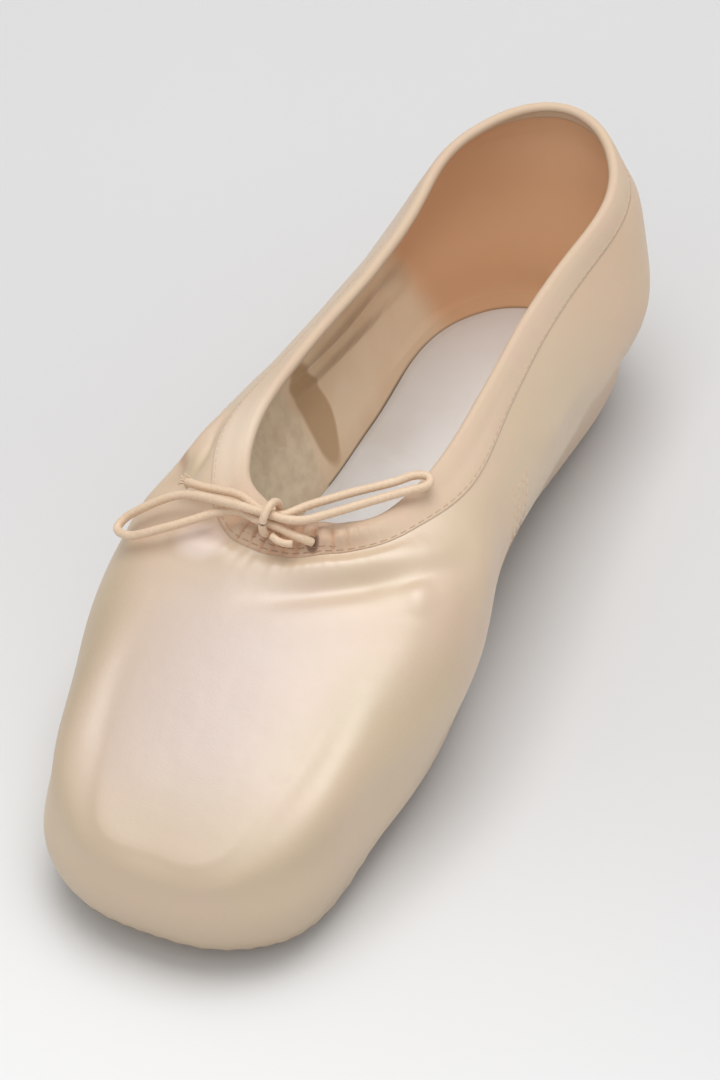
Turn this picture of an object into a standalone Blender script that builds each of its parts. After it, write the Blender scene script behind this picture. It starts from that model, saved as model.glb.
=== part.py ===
"""A pointe shoe: satin upper with a stiff box, leather outsole, insole, drawstring casing and bow.

The shoe stands on its sole. +Z is up, the toe points to -Y and the heel to +Y. All sizes in the
tables are in millimetres, and angles are in degrees. The shoe is the same on both sides of X = 0.
"""
import math

import bpy
import numpy as np

MM = 0.001

# Driving sizes of the shoe
LENGTH = 225.0
BALL_WIDTH = 83.5
HEEL_HEIGHT = 59.5

# Thicknesses, and the gap that pieces keep where they meet
GAP = 0.3
OUTSOLE_THICK = 2.2
LAP_WIDTH = 8.0
LAP_THICK = 1.5
FEATHER = 2.5
INSOLE_THICK = 2.0
INSOLE_INSET = 3.0
INSOLE_BEVEL = 1.2
INSOLE_BEVEL_WIDTH = 2.2
SKIVE = 0.9

# The sole's underside is flat at heel and ball, lifts at the waist and springs up at the toe
WAIST_FROM = 48.0
WAIST_TO = 142.0
WAIST_RAMP = 42.0
WAIST_LIFT = 3.0
SPRING_FROM = 185.0
SPRING_RUN = 40.0
TOE_SPRING = 3.0

# The casing sewn over the topline, which holds the drawstring
CASING_THICK = 0.9
CASING_OUTSIDE = (9.0, 6.0, 3.0, 0.0)
CASING_INSIDE = (0.0, 3.0, 6.0)

# The bow is one cord: out of the casing, through the knot, round the left loop, through the knot,
# round the right loop and through the knot again, to an end that lies on the left. Its route is a
# list of points on the cord's middle, x, y and z. The knot is the turn that grips the three strands.
CORD_THICK = 2.0
CORD_STEP = 3.6
KNOT_MIDDLE = (-3.8, -40.0, 58.8)
KNOT_RADIUS = 3.45
KNOT_TUBE = 0.9
BOW_ROUTE = (
    (3.7, -40.2, 55.6), (0.8, -40.8, 56.5), (-1.6, -40.9, 57.7), (-3.8, -40.9, 57.8),
    (-6.3, -40.8, 57.8), (-11.3, -39.4, 57.4), (-15.6, -40.1, 56.3), (-19.3, -41.9, 54.9),
    (-23.3, -44.0, 53.4), (-26.9, -45.5, 52.0), (-30.7, -46.5, 50.1), (-34.4, -46.4, 48.2),
    (-37.8, -44.2, 47.2), (-37.2, -42.1, 48.4), (-34.3, -40.8, 50.7), (-30.3, -39.2, 53.3),
    (-26.1, -38.1, 55.5), (-20.9, -38.5, 57.4), (-15.5, -39.8, 59.1), (-10.3, -40.4, 60.1),
    (-6.4, -40.5, 60.1), (-3.8, -40.4, 60.1), (-1.2, -40.5, 60.0), (2.7, -38.9, 59.4),
    (6.0, -35.5, 59.1), (9.2, -32.1, 59.0), (12.5, -28.7, 59.1), (15.9, -25.5, 59.3),
    (19.0, -22.5, 59.4), (21.6, -20.4, 59.6), (21.5, -18.5, 60.0), (19.0, -19.2, 60.3),
    (15.8, -22.0, 60.3), (12.4, -25.0, 60.2), (8.9, -28.1, 60.1), (5.5, -31.2, 59.8),
    (2.0, -34.2, 59.3), (-0.6, -36.4, 58.8), (-1.6, -38.6, 58.6), (-3.8, -38.7, 58.5),
    (-6.2, -38.6, 58.6), (-12.9, -36.0, 58.5), (-17.8, -35.5, 57.6), (-22.2, -35.0, 56.6),
    (-26.4, -33.7, 55.4),
)

# How finely the pieces are cut
AROUND = 88
WALL_LINES = (0, 1, 2, 3, 3.5, 4, 4.5, 5, 5.5, 6, 6.5)
VAMP_PLACES = (0.3, 0.65)

# Half of the last, from the back of the heel round the right side to the tip of the box. Each row is
# an upright section that stands on the middle line, spine millimetres from the heel, and faces turn
# degrees forward of straight sideways. The other columns are the reach from the spine, and the
# height, of the outsole's edge, the foot of the wall, the widest line, the shoulder, the brow where
# the side turns into the top, the crown and the collar's rim; wall is the wall's thickness.
COLUMNS = ("spine", "turn", "sole", "edge", "edge_z", "wide", "wide_z", "shoulder", "shoulder_z",
           "brow", "brow_z", "crown", "crown_z", "rim", "rim_z", "wall")
LAST = {
    "heel back":     (30, -90, 20.0, 24.5, 6, 28.0, 22, 31.2, 35, 32.6, 43.0, 33.5, 51.0, 32.5, 59.5, 1.8),
    "heel corner":   (31, -50, 21.5, 24.7, 6, 28.5, 22, 32.4, 34, 32.8, 42.0, 32.2, 50.0, 26.8, 57.8, 1.8),
    "heel side":     (38, -10, 21.0, 25.0, 6, 28.7, 22, 32.8, 33, 31.2, 39.8, 27.2, 46.8, 20.8, 55.4, 1.6),
    "waist back":    (64, -2, 18.0, 24.0, 7, 28.4, 22, 32.8, 32, 31.9, 39.0, 28.8, 46.0, 19.4, 56.1, 1.6),
    "waist":         (90, 0, 17.5, 23.8, 8, 28.0, 22, 33.3, 33, 33.8, 40.2, 31.0, 47.0, 21.0, 57.2, 1.6),
    "wing":          (112, 13, 24.0, 31.0, 7, 32.6, 19, 35.8, 33, 37.6, 43.6, 33.4, 50.0, 22.0, 57.2, 2.0),
    "ball":          (122, 32, 33.0, 38.7, 6, 41.7, 17, 48.3, 31.5, 42.3, 46.2, 34.4, 50.8, 20.6, 55.6, 2.4),
    "box side":      (126, 56, 48.0, 57.3, 6, 63.0, 15, 63.5, 30.5, 45.5, 44.3, 33.5, 48.8, 17.5, 54.6, 2.6),
    "box corner":    (127, 73.5, 73.5, 87.0, 6, 88.8, 14, 84.4, 26, 68.5, 34.5, 47.0, 43.3, 16.0, 54.5, 2.8),
    "platform side": (127, 81, 81.5, 91.3, 6, 92.8, 13.5, 89.3, 22.8, 84.3, 28.3, 57.0, 39.2, 16.0, 54.2, 2.8),
    "platform":      (127, 90, 84.0, 92.0, 6, 93.6, 13, 90.2, 22, 86.4, 26.6, 60.0, 37.8, 16.0, 54.0, 2.8),
}
TABLE_LENGTH = 224.4
TABLE_WIDTH = 83.5
TABLE_HEEL = 59.5
TABLE_MIDDLE = 107.9


def smooth(knots, values, at):
    """Cubic curve through rows of values at rising knots, with slopes weighted from both sides."""
    step = np.diff(knots)[:, None]
    rise = np.diff(values, axis=0) / step
    slope = np.empty_like(values)
    slope[1:-1] = (rise[:-1] * step[1:] + rise[1:] * step[:-1]) / (step[:-1] + step[1:])
    slope[0] = rise[0]
    slope[-1] = rise[-1]
    i = np.clip(np.searchsorted(knots, at) - 1, 0, len(knots) - 2)
    u = (at[:, None] - knots[i][:, None]) / step[i]
    hold = (1 + 2 * u) * (1 - u) ** 2 * values[i] + u * u * (3 - 2 * u) * values[i + 1]
    lean = u * (1 - u) ** 2 * slope[i] + u * u * (u - 1) * slope[i + 1]
    return hold + step[i] * lean


def half_sections(count):
    """Columns of the last at evenly spaced sections, from the back of the heel to the tip."""
    rows = np.array(list(LAST.values()), float)
    column = dict(zip(COLUMNS, rows.T))
    heading = np.radians(column["turn"])
    out = column["wide"] * np.cos(heading)
    along = column["spine"] + column["wide"] * np.sin(heading)
    station = np.concatenate([[0.0], np.cumsum(np.hypot(np.diff(out), np.diff(along)))])
    station /= station[-1]
    behind = rows[[2, 1]]
    ahead = rows[[-2, -3]]
    behind[:, 1] = -180 - behind[:, 1]
    ahead[:, 1] = 180 - ahead[:, 1]
    table = np.vstack([behind, rows, ahead])
    knots = np.concatenate([-station[[2, 1]], station, 2 - station[[-2, -3]]])
    return dict(zip(COLUMNS, smooth(knots, table, np.linspace(0, 1, count)).T))


def ground(along):
    """Height of the sole's underside at a distance from the heel."""
    def ramp(u):
        u = np.clip(u, 0, 1)
        return u * u * (3 - 2 * u)
    waist = ramp((along - WAIST_FROM) / WAIST_RAMP) * ramp((WAIST_TO - along) / WAIST_RAMP)
    toe = np.clip((along - SPRING_FROM) / SPRING_RUN, 0, 1.2) ** 2
    return WAIST_LIFT * waist + TOE_SPRING * toe


def place(section, reach, height):
    """Points of sections in the shoe's frame, in metres, from reaches and heights above the sole."""
    heading = np.radians(section["turn"])[:, None]
    along = section["spine"][:, None] + reach * np.sin(heading)
    low = np.clip(1.25 - height / 25, 0, 1)
    x = reach * np.cos(heading) * BALL_WIDTH / TABLE_WIDTH
    y = (TABLE_MIDDLE - along) * LENGTH / TABLE_LENGTH
    z = (height + low * ground(along)) * HEEL_HEIGHT / TABLE_HEEL
    return np.stack([x, y, z], axis=-1) * MM


def both_sides(half):
    """A closed ring of sections from the right half: the inner ones are mirrored to the left."""
    return np.concatenate([half, half[-2:0:-1] * (-1, 1, 1)])


class Wall:
    """The upper's outer face, as one curve up each section from the edge of the lap to the rim."""

    def __init__(self):
        column = half_sections(AROUND // 2 + 1)
        foot = OUTSOLE_THICK + GAP + 0 * column["sole"]
        reach = [column["sole"] - LAP_WIDTH, column["sole"], column["edge"] - FEATHER, column["edge"],
                 column["wide"], column["shoulder"], column["brow"], column["crown"], column["rim"]]
        height = [foot, foot, foot + 0.1 * FEATHER, column["edge_z"], column["wide_z"],
                  column["shoulder_z"], column["brow_z"], column["crown_z"], column["rim_z"]]
        self.column = column
        self.foot = foot[:, None]
        self.lines = np.stack([reach, height], axis=-1).swapaxes(0, 1)
        run = np.linalg.norm(np.diff(self.lines, axis=1), axis=-1).cumsum(axis=1)
        self.knots = np.insert(run, 0, 0, axis=1)

    def at_lines(self, numbers):
        """Places on each section by line: 0 is the lap's edge, 3 the wall's foot and 8 the rim."""
        return np.array([np.interp(numbers, np.arange(9), knots) for knots in self.knots])

    def below_rim(self, distances):
        """Places on each section by distance down from the rim."""
        return self.knots[:, -1:] - np.asarray(distances)

    def face(self, at):
        """Points of the outer face at those places, round both sides of the shoe."""
        flat = np.array([smooth(k, line, a) for k, line, a in zip(self.knots, self.lines, at)])
        height = np.maximum(flat[..., 1], self.foot)
        return both_sides(place(self.column, flat[..., 0], height))

    def under(self, at, depth):
        """The same points moved in from the outer face by a depth in millimetres at each place."""
        up = self.face(np.minimum(at + 0.2, self.knots[:, -1:])) - self.face(np.maximum(at - 0.2, 0))
        points = self.face(at)
        forward = np.roll(points, -1, axis=0) - np.roll(points, 1, axis=0)
        outward = np.cross(up, forward)
        outward /= np.linalg.norm(outward, axis=-1, keepdims=True)
        depth = np.broadcast_to(depth, at.shape)
        depth = np.concatenate([depth, depth[-2:0:-1]])
        return points - outward * depth[..., None] * MM


def finish(name, mesh, colour, roughness):
    """Object of a mesh, shaded smooth, with a plain material of its own."""
    material = bpy.data.materials.new(name)
    material.use_nodes = True
    shader = material.node_tree.nodes["Principled BSDF"]
    shader.inputs["Base Color"].default_value = (*colour, 1)
    shader.inputs["Roughness"].default_value = roughness
    mesh.materials.append(material)
    piece = bpy.data.objects.new(name, mesh)
    bpy.context.scene.collection.objects.link(piece)
    return piece


def closed_band(name, loops, diagonal, colour, roughness):
    """Solid of an endless band: loops[i] is one cross-section of it, run round as a closed loop.

    The diagonal, 0 or 1, is the one that cuts each face into its triangles, so that two bands that
    lie face to face can be cut alike.
    """
    count, size = loops.shape[:2]
    i, j = np.meshgrid(np.arange(count), np.arange(size), indexing="ij")
    i_next = (i + 1) % count
    j_next = (j + 1) % size
    quads = np.stack([i * size + j, i * size + j_next, i_next * size + j_next, i_next * size + j], -1)
    quads = np.roll(quads, diagonal, axis=-1)
    mesh = bpy.data.meshes.new(name)
    mesh.from_pydata(loops.reshape(-1, 3).tolist(), [], quads.reshape(-1, 4).tolist())
    mesh.shade_smooth()
    return finish(name, mesh, colour, roughness)


def plate(name, reach, levels, colour, roughness):
    """Solid sole from its reach at each section: levels are (inset, height) pairs from below up."""
    inset = np.array([level[0] for level in levels])
    height = np.array([level[1] for level in levels]) + 0 * reach[:, None]
    rings = both_sides(place(WALL.column, reach[:, None] - inset, height))
    vertices = rings.transpose(1, 0, 2).reshape(-1, 3)
    top = (len(levels) - 1) * AROUND
    faces = []
    for low in range(0, top, AROUND):
        for i in range(AROUND):
            j = (i + 1) % AROUND
            faces.append((low + i, low + AROUND + i, low + AROUND + j, low + j))
    for i in range(AROUND // 2):
        rung = tuple(dict.fromkeys([i, i + 1, AROUND - i - 1, (AROUND - i) % AROUND]))
        faces.append(rung)
        faces.append(tuple(top + k for k in reversed(rung)))
    mesh = bpy.data.meshes.new(name)
    mesh.from_pydata(vertices.tolist(), [], faces)
    mesh.shade_smooth()
    mesh.set_sharp_from_angle(angle=math.radians(40))
    return finish(name, mesh, colour, roughness)


def outsole():
    """Leather outsole, skived thin at its edge and flat on the floor at heel and ball."""
    levels = [(SKIVE, 0.0), (0.0, SKIVE), (0.0, OUTSOLE_THICK)]
    return plate("outsole", WALL.column["sole"], levels, (0.30, 0.17, 0.09), 0.7)


def insole():
    """Board insole that lies on the upper's turned-in lap, just clear of the wall."""
    low = OUTSOLE_THICK + GAP + LAP_THICK + GAP
    levels = [(INSOLE_BEVEL_WIDTH, low), (0.0, low + INSOLE_BEVEL), (0.0, low + INSOLE_THICK)]
    reach = WALL.column["edge"] - WALL.column["wall"] - INSOLE_INSET
    return plate("insole", reach, levels, (0.62, 0.59, 0.54), 0.85)


def upper():
    """Upper as one hollow wall: lap under the foot, wall, and open collar, thickest at the box."""
    foot = WALL.at_lines(WALL_LINES)
    casing = WALL.below_rim(CASING_OUTSIDE)
    vamp = foot[:, -1:] + (casing[:, :1] - foot[:, -1:]) * VAMP_PLACES
    at = np.concatenate([foot, vamp, casing], axis=1)
    lining = np.clip((np.array(WALL_LINES) - 2) / 1.5, 0, 1)
    lining = np.concatenate([lining, np.ones(at.shape[1] - len(WALL_LINES))])
    depth = LAP_THICK + (WALL.column["wall"][:, None] - LAP_THICK) * lining
    loops = np.concatenate([WALL.face(at), WALL.under(at, depth)[:, ::-1]], axis=1)
    return closed_band("upper", loops, 0, (0.78, 0.62, 0.46), 0.5)


def topline_binding():
    """Casing folded over the rim of the collar, clear of the wall on both its faces."""
    outside = WALL.below_rim(CASING_OUTSIDE)
    inside = WALL.below_rim(CASING_INSIDE)
    rise = WALL.face(WALL.below_rim([0.0])) - WALL.face(WALL.below_rim([1.0]))
    rise /= np.linalg.norm(rise, axis=-1, keepdims=True)

    def skin(clear):
        front = WALL.under(outside, -clear)
        back = WALL.under(inside, WALL.column["wall"][:, None] + clear)
        front[:, -1:] += rise * clear * MM
        back[:, :1] += rise * clear * MM
        return np.concatenate([front, back], axis=1)

    loops = np.concatenate([skin(GAP + CASING_THICK), skin(GAP)[:, ::-1]], axis=1)
    return closed_band("topline_binding", loops, 1, (0.84, 0.73, 0.60), 0.6)


def drawstring():
    """The bow's cord, a plain tube along a smooth curve through its route."""
    route = np.array(BOW_ROUTE)
    knots = np.insert(np.linalg.norm(np.diff(route, axis=0), axis=1).cumsum(), 0, 0)
    count = round(knots[-1] / CORD_STEP)
    points = smooth(knots, route, np.linspace(0, knots[-1], count + 1)) * MM
    curve = bpy.data.curves.new("drawstring", "CURVE")
    curve.dimensions = "3D"
    spline = curve.splines.new("POLY")
    spline.points.add(count)
    for point, place in zip(spline.points, points):
        point.co = (*place, 1)
    curve.bevel_depth = CORD_THICK / 2 * MM
    curve.bevel_resolution = 2
    curve.use_fill_caps = True
    return finish("drawstring", curve, (0.66, 0.50, 0.36), 0.6)


def drawstring_knot():
    """The turn of cord round the bow's three strands, standing on the casing at the throat."""
    middle = [value * MM for value in KNOT_MIDDLE]
    bpy.ops.mesh.primitive_torus_add(major_segments=20, minor_segments=8, location=middle,
                                     rotation=(0, math.pi / 2, 0), major_radius=KNOT_RADIUS * MM,
                                     minor_radius=KNOT_TUBE * MM)
    ring = bpy.context.object
    mesh = ring.data
    bpy.data.objects.remove(ring)
    mesh.shade_smooth()
    piece = finish("drawstring_knot", mesh, (0.66, 0.50, 0.36), 0.6)
    piece.location = middle
    piece.rotation_euler = (0, math.pi / 2, 0)
    return piece


def clear_scene():
    """Remove what the scene holds before the shoe is made."""
    for item in list(bpy.data.objects):
        bpy.data.objects.remove(item)


WALL = Wall()
clear_scene()
outsole()
insole()
upper()
topline_binding()
drawstring()
drawstring_knot()
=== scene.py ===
"""The looks of a pointe shoe: satin, lining, casing, bow, insole and leather sole, on a pale floor.

The shoe stands on its sole. +Z is up, the toe points to -Y and the heel to +Y. Tables and shapes are
in millimetres and go into the meshes in metres.
"""

import math

import bmesh
import bpy
import mathutils
import numpy as np
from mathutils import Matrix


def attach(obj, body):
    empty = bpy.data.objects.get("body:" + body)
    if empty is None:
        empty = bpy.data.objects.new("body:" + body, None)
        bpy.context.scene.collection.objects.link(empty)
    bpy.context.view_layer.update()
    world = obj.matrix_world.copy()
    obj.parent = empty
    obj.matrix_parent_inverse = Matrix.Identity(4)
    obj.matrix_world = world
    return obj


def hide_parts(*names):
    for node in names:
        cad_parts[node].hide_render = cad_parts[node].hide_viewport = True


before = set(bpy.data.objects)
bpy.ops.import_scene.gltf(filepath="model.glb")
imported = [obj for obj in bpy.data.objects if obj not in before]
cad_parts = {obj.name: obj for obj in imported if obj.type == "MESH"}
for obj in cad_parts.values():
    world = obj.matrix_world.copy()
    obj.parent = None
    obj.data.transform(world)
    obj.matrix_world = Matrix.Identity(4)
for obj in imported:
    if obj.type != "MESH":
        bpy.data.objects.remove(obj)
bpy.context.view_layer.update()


# Satin. The outer upper is one sheet of pinkish satin on cotton, pulled over the last and the glued
# box and turned in under the sole. It is smooth and tight over the box, creased where it meets the
# casing, and sewn up at the sides and at the back of the heel.
MM = 0.001
LENGTH = 225.0
TABLE_LENGTH = 224.4
TABLE_MIDDLE = 107.9
FOOT_HEIGHT = 2.5
LAP_WIDTH = 8.0
FEATHER = 2.5
AROUND = 600
HALF = AROUND // 2 + 1

# Half of the last from the back of the heel round the right side to the tip. Each row is an upright
# section that stands on the middle line and faces turn degrees forward of straight sideways. Then come
# the reaches and heights of its lines, the wall's thickness, and the casing's width on either side.
COLUMNS = ("spine", "turn", "sole", "edge", "edge_z", "wide", "wide_z", "shoulder", "shoulder_z",
           "brow", "brow_z", "crown", "crown_z", "rim", "rim_z", "wall", "casing", "casing_left")
LAST = {
    "heel back":     (30, -90, 20.0, 24.5, 6, 28.0, 22, 31.2, 35,
                      32.6, 43.0, 33.5, 51.0, 32.5, 59.5, 1.8, 5.5, 5.5),
    "heel corner":   (31, -50, 21.5, 24.7, 6, 28.5, 22, 32.4, 34,
                      32.8, 42.0, 32.2, 50.0, 26.8, 57.8, 1.8, 5.5, 5.5),
    "heel side":     (38, -10, 21.0, 25.0, 6, 28.7, 22, 32.8, 33,
                      31.2, 39.8, 27.2, 46.8, 20.8, 55.4, 1.6, 5.5, 5.5),
    "waist back":    (64, -2, 18.0, 24.0, 7, 28.4, 22, 32.8, 32,
                      31.9, 39.0, 28.8, 46.0, 19.4, 56.1, 1.6, 5.5, 5.5),
    "waist":         (90, 0, 17.5, 23.8, 8, 28.0, 22, 33.3, 33,
                      33.8, 40.2, 31.0, 47.0, 21.0, 57.2, 1.6, 6.0, 6.0),
    "wing":          (112, 13, 24.0, 31.0, 7, 32.6, 19, 35.8, 33,
                      37.6, 43.6, 33.4, 50.0, 22.0, 57.2, 2.0, 7.6, 7.8),
    "ball":          (122, 32, 33.0, 38.7, 6, 41.7, 17, 48.3, 31.5,
                      42.3, 46.2, 34.4, 50.8, 20.6, 55.6, 2.4, 5.6, 7.2),
    "box side":      (126, 56, 48.0, 57.3, 6, 63.0, 15, 63.5, 30.5,
                      45.5, 44.3, 33.5, 48.8, 17.5, 54.6, 2.6, 5.6, 9.6),
    "box corner":    (127, 73.5, 73.5, 87.0, 6, 88.8, 14, 84.4, 26,
                      68.5, 34.5, 47.0, 43.3, 16.0, 54.5, 2.8, 6.6, 9.4),
    "platform side": (127, 81, 81.5, 91.3, 6, 92.8, 13.5, 89.8, 23.2,
                      84.9, 28.4, 57.0, 39.4, 16.0, 54.2, 2.8, 7.2, 8.8),
    "platform":      (127, 90, 84.0, 92.0, 6, 93.6, 13, 90.8, 22.8,
                      87.0, 26.8, 60.0, 38.2, 16.0, 54.0, 2.8, 7.9, 7.9),
}


def smooth(knots, values, at):
    """Cubic curve through rows of values at rising knots, with slopes weighted from both sides."""
    step = np.diff(knots)[:, None]
    rise = np.diff(values, axis=0) / step
    slope = np.empty_like(values)
    slope[1:-1] = (rise[:-1] * step[1:] + rise[1:] * step[:-1]) / (step[:-1] + step[1:])
    slope[0] = rise[0]
    slope[-1] = rise[-1]
    i = np.clip(np.searchsorted(knots, at) - 1, 0, len(knots) - 2)
    u = (at[:, None] - knots[i][:, None]) / step[i]
    hold = (1 + 2 * u) * (1 - u) ** 2 * values[i] + u * u * (3 - 2 * u) * values[i + 1]
    lean = u * (1 - u) ** 2 * slope[i] + u * u * (u - 1) * slope[i + 1]
    return hold + step[i] * lean


def half_sections(count):
    """Columns of the last at even stations from the back of the heel, 0, to the tip, 1."""
    rows = np.array(list(LAST.values()), float)
    column = dict(zip(COLUMNS, rows.T))
    heading = np.radians(column["turn"])
    out = column["wide"] * np.cos(heading)
    along = column["spine"] + column["wide"] * np.sin(heading)
    station = np.concatenate([[0.0], np.cumsum(np.hypot(np.diff(out), np.diff(along)))])
    station /= station[-1]
    behind = rows[[2, 1]]
    ahead = rows[[-2, -3]]
    behind[:, 1] = -180 - behind[:, 1]
    ahead[:, 1] = 180 - ahead[:, 1]
    table = np.vstack([behind, rows, ahead])
    knots = np.concatenate([-station[[2, 1]], station, 2 - station[[-2, -3]]])
    return dict(zip(COLUMNS, smooth(knots, table, np.linspace(0, 1, count)).T))


def ramp(u):
    """Soft step from 0 to 1 as u goes from 0 to 1."""
    u = np.clip(u, 0, 1)
    return u * u * (3 - 2 * u)


def ground(along):
    """Height of the sole's underside: flat at heel and ball, lifted at the waist, sprung at the toe."""
    waist = ramp((along - 48) / 42) * ramp((142 - along) / 42)
    toe = np.clip((along - 185) / 40, 0, 1.2) ** 2
    return 3.0 * waist + 3.0 * toe


def place(section, reach, height):
    """Points in the shoe's frame from reaches along the sections and heights above the sole."""
    heading = np.radians(section["turn"])[:, None]
    along = section["spine"][:, None] + reach * np.sin(heading)
    low = np.clip(1.25 - height / 25, 0, 1)
    x = reach * np.cos(heading)
    y = (TABLE_MIDDLE - along) * LENGTH / TABLE_LENGTH
    return np.stack([x, y, height + low * ground(along)], axis=-1)


def both_sides(half):
    """A closed ring of sections from the right half: the inner ones are mirrored to the left."""
    return np.concatenate([half, half[-2:0:-1] * (-1, 1, 1)])


section = half_sections(HALF)
foot = FOOT_HEIGHT + 0 * section["sole"]
wall_lines = np.stack([
    np.stack([section["sole"] - LAP_WIDTH, section["sole"], section["edge"] - FEATHER, section["edge"],
              section["wide"], section["shoulder"], section["brow"], section["crown"], section["rim"]]),
    np.stack([foot, foot, foot + 0.1 * FEATHER, section["edge_z"], section["wide_z"],
              section["shoulder_z"], section["brow_z"], section["crown_z"], section["rim_z"]])], axis=-1)
wall_lines = wall_lines.swapaxes(0, 1)
line_numbers = np.arange(9.0)


def run_up(lines):
    """Distance up each section from its first line to each of its lines."""
    return np.insert(np.linalg.norm(np.diff(lines, axis=1), axis=-1).cumsum(axis=1), 0, 0, axis=1)


# The box is stiff with glue: between its soft turns the side, the platform and the top run straight
BOX_START = 0.66
BOX_BLEND = 0.12
STRAIGHT_AT = (6.25, 4.65)
stiff = ramp((np.linspace(0, 1, HALF) - BOX_START) / BOX_BLEND)[:, None]
for number in STRAIGHT_AT:
    line = int(number)
    share = number - line
    knots = run_up(wall_lines)
    here = knots[:, line] + share * (knots[:, line + 1] - knots[:, line])
    curved = np.array([smooth(k, points, a)[0] for k, points, a in zip(knots, wall_lines, here[:, None])])
    straight = (1 - share) * wall_lines[:, line] + share * wall_lines[:, line + 1]
    wall_lines = np.insert(wall_lines, line + 1, curved + stiff * (straight - curved), axis=1)
    line_numbers = np.insert(line_numbers, line + 1, number)
wall_knots = run_up(wall_lines)
rim_at = wall_knots[:, -1:]


def wall_places(numbers):
    """Distances up each section to its lines: 0 is the lap's edge, 3 the wall's foot and 8 the rim."""
    return np.array([np.interp(numbers, line_numbers, knots) for knots in wall_knots])


def wall_face(at):
    """Points of the upper's outer face, a cubic curve up each section, at those distances."""
    flat = np.array([smooth(k, line, a) for k, line, a in zip(wall_knots, wall_lines, at)])
    return both_sides(place(section, flat[..., 0], np.maximum(flat[..., 1], FOOT_HEIGHT)))


def domed(x, y):
    """Terms of a gently domed face: powers of the distance along the box and, even ones, across it."""
    across = (x / 30) ** 2
    along = (y + 80) / 30
    return np.stack([across ** 0, along, along ** 2, along ** 3, along ** 4, across, across * along,
                     across * along ** 2, across ** 2, across ** 2 * along], -1)


top_points = wall_face(wall_places(np.linspace(6, 7.6, 12))).reshape(-1, 3)
top_points = top_points[top_points[:, 1] < -46]
top_dome = np.linalg.lstsq(domed(*top_points.T[:2]), top_points[:, 2], rcond=None)[0]


def outer_face(numbers):
    """The satin's face at some line numbers, with the top of the box levelled to one domed face."""
    points = wall_face(wall_places(numbers))
    x, y, z = np.moveaxis(points, -1, 0)
    share = ramp((numbers - 5.6) / 0.7) * ramp((-42 - y) / 14)
    points[..., 2] = z + share * (domed(x, y) @ top_dome - z)
    return points


def outward(points):
    """Unit normals of a ring of sections: the cross product of the ways up and round the shoe."""
    up = np.gradient(points, axis=1)
    forward = np.roll(points, -1, axis=0) - np.roll(points, 1, axis=0)
    normal = np.cross(up, forward)
    return normal / np.maximum(np.linalg.norm(normal, axis=-1, keepdims=True), 1e-9)


def both_halves(values):
    """The same values for the left half as for the right one, in the ring's order."""
    return np.concatenate([values, values[-2:0:-1]])


def two_sides(right, left):
    """A ring of sections from the right half of one ring and the left half of another."""
    return np.concatenate([right[:HALF], left[HALF:]])


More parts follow.
